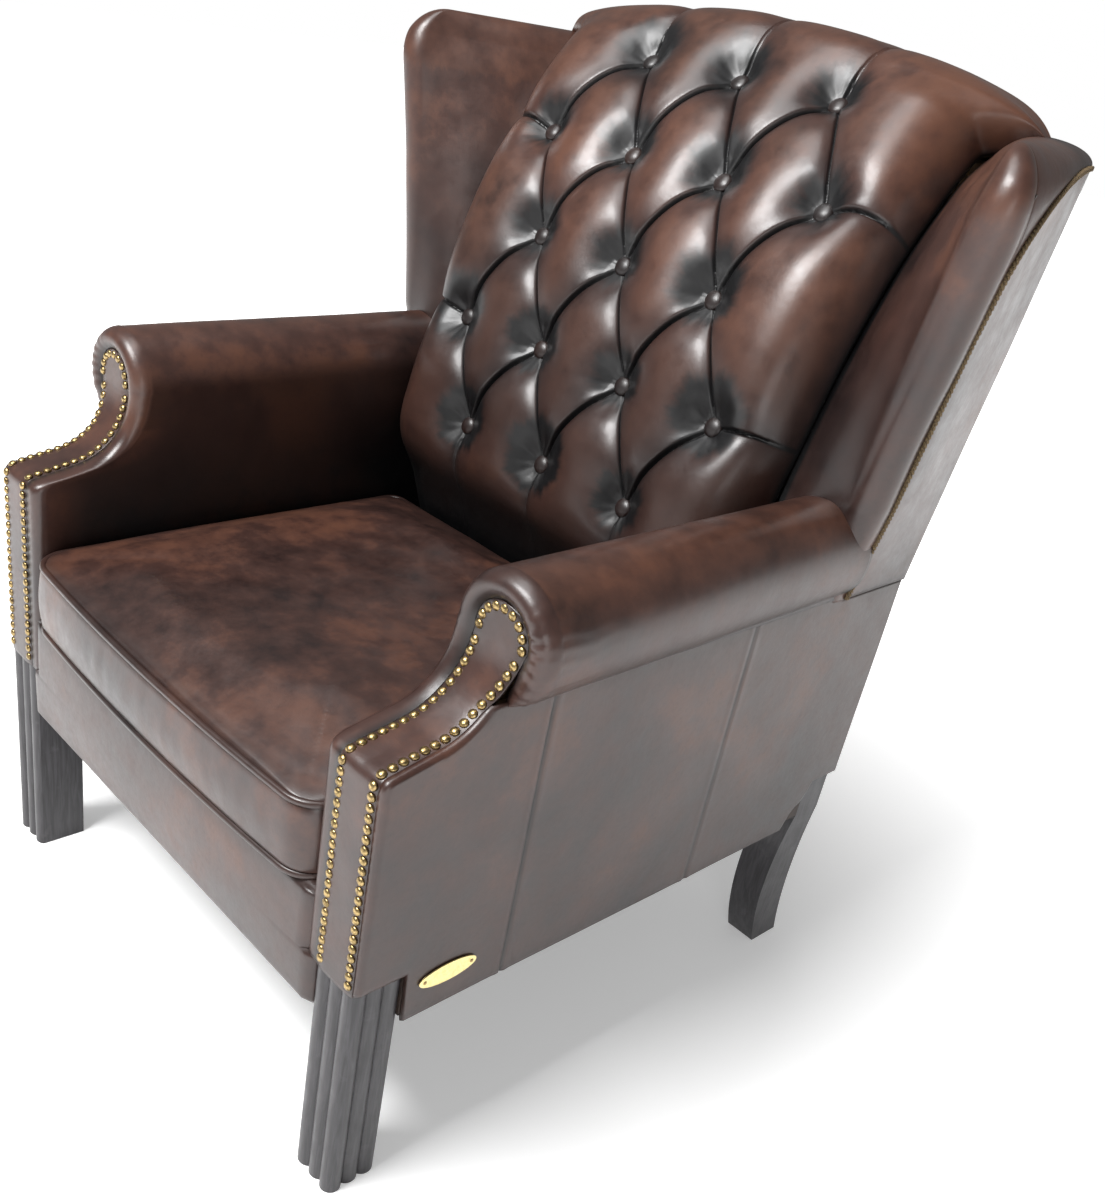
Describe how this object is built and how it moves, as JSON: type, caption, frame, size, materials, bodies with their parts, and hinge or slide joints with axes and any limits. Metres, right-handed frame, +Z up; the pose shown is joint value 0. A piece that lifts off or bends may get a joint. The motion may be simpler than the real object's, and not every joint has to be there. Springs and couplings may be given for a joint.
{
  "type": "wing chair",
  "caption": "Deep buttoned leather wing chair with scrolled arms, close nailed arm facings, reeded front legs, swept rear legs and a loose seat cushion.",
  "frame": {"origin": "middle of the footprint's bounding box, on the floor", "axes": "+Z up; the chair faces -Y; +X is the sitter's left"},
  "size_m": [0.903, 0.8769, 1.0813],
  "materials": {
    "leather": "rubbed satin",
    "dark_legs": "satin, stained dark",
    "frame_wood": "bare",
    "brass": "aged satin",
    "gimp": "twisted cord",
    "webbing": "woven",
    "deck_cloth": "woven",
    "lining": "woven"
  },
  "bodies": {
    "chair": {"arm_facing_left": "leather", "arm_facing_right": "leather", "arm_pad_left": "leather", "arm_pad_right": "leather", "arm_post_left": "frame_wood", "arm_post_right": "frame_wood", "arm_rail_left": "frame_wood", "arm_rail_right": "frame_wood", "back_bottom_rail": "frame_wood", "back_buttons": "leather", "back_pad": "leather", "back_post_left": "frame_wood", "back_post_right": "frame_wood", "back_seat_rail": "frame_wood", "back_stile_left": "frame_wood", "back_stile_right": "frame_wood", "back_top_rail": "frame_wood", "back_webbing": "webbing", "badge_plate": "brass", "badge_screws": "brass", "corner_blocks": "frame_wood", "dust_cover": "lining", "facing_nails_left": "brass", "facing_nails_right": "brass", "front_apron": "leather", "front_leg_left": "dark_legs", "front_leg_right": "dark_legs", "front_seat_rail": "frame_wood", "outer_wing_left": "leather", "outer_wing_right": "leather", "outside_back": "leather", "rear_leg_left": "dark_legs", "rear_leg_right": "dark_legs", "seat_deck": "deck_cloth", "seat_webbing_cross": "webbing", "seat_webbing_long": "webbing", "side_panel_left": "leather", "side_panel_right": "leather", "side_seat_rail_left": "frame_wood", "side_seat_rail_right": "frame_wood", "wing_pad_left": "leather", "wing_pad_right": "leather", "wing_post_left": "frame_wood", "wing_post_right": "frame_wood", "wing_rail_left": "frame_wood", "wing_rail_right": "frame_wood", "wing_trim_left": "gimp", "wing_trim_right": "gimp"},
    "cushion": {"seat_cushion": "leather", "cushion_piping": "leather"}
  },
  "joints": [
    {"name": "cushion_lift", "type": "slide", "parent": "chair", "child": "cushion", "axis": [0, -0.5, 0.866], "range_m": [0, 0.45]}
  ]
}
